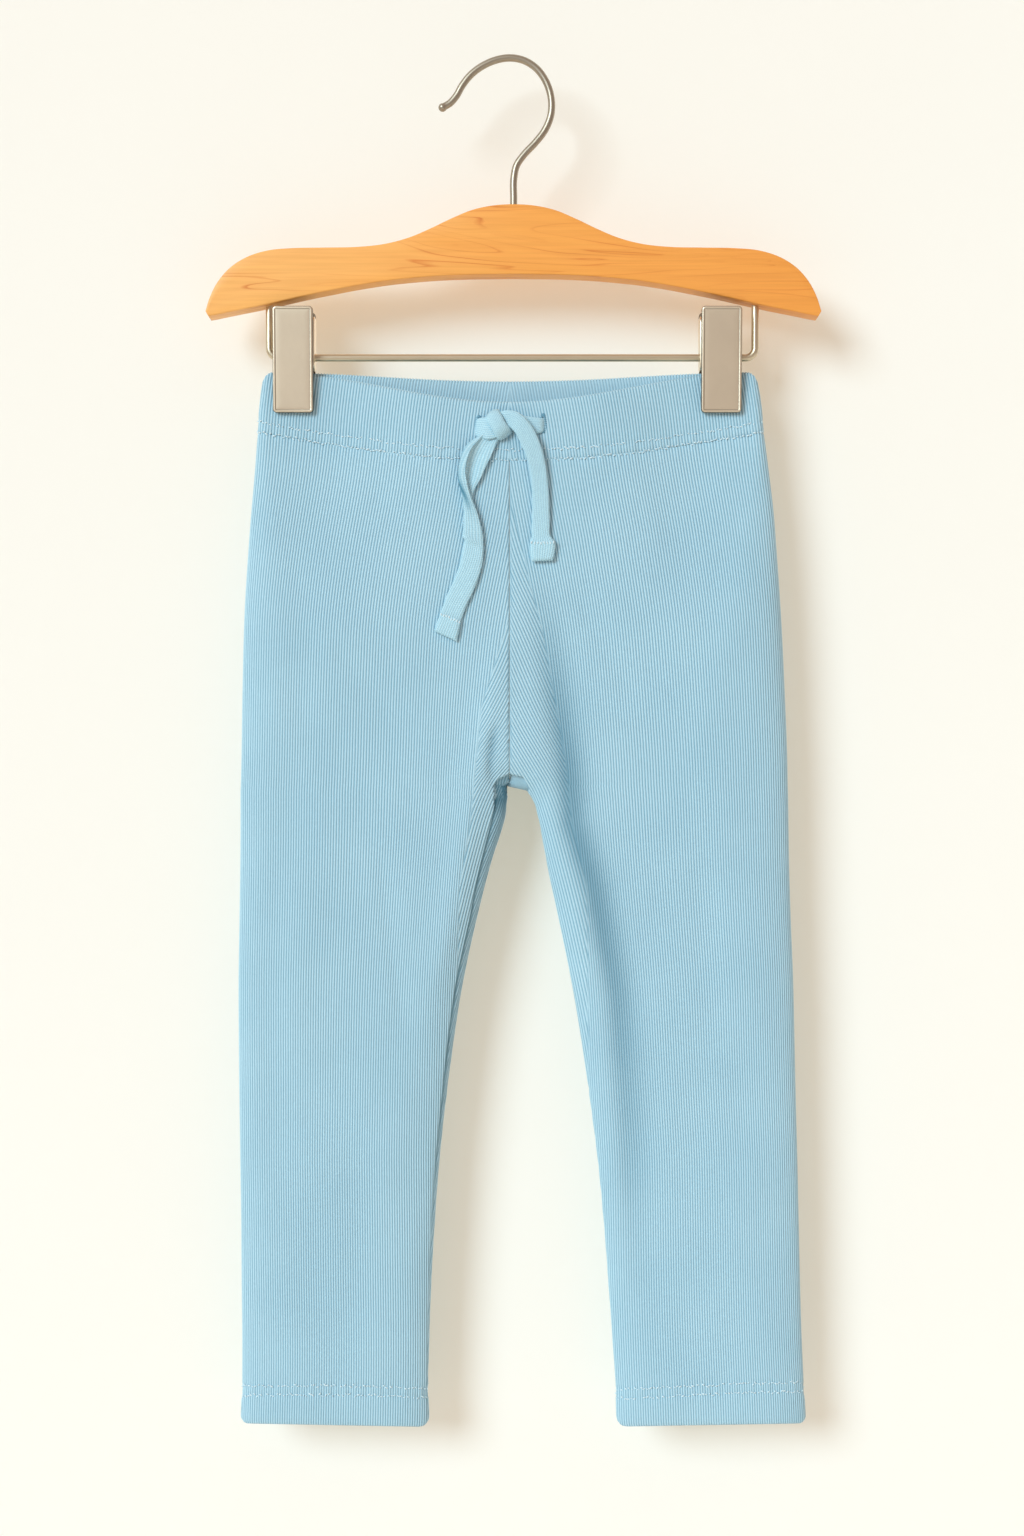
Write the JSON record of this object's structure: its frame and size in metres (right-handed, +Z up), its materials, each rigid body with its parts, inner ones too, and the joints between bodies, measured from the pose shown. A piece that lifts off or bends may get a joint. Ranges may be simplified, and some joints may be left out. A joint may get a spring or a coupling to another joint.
{
  "type": "pyjama trousers on a clip hanger",
  "caption": "Toddler's rib knit pyjama trousers with a drawstring waist, hung flat by the waistband from a wooden clip hanger with a wire hook.",
  "frame": {"origin": "the inside of the hook's crown, where the hanger rests on whatever holds it up", "axes": "+Z up, +X to the viewer's right, -Y towards the viewer: the front of the trousers faces -Y"},
  "size_m": [0.28, 0.03, 0.6262],
  "materials": {
    "rib_knit": "fine 1x1 rib knit, light blue",
    "tape_knit": "flat knitted tape, light blue",
    "stained_wood": "amber stained and varnished softwood",
    "satin_nickel": "satin nickel plated steel"
  },
  "bodies": {
    "root": {"leg_left": "rib_knit", "leg_right": "rib_knit", "waistband": "rib_knit", "drawstring_left": "tape_knit", "drawstring_right": "tape_knit", "drawstring_knot": "tape_knit", "hanger_bar": "stained_wood", "hanger_hook": "satin_nickel", "clip_rod": "satin_nickel", "clip_left_front": "satin_nickel", "clip_left_back": "satin_nickel", "clip_right_front": "satin_nickel", "clip_right_back": "satin_nickel"}
  },
  "joints": []
}
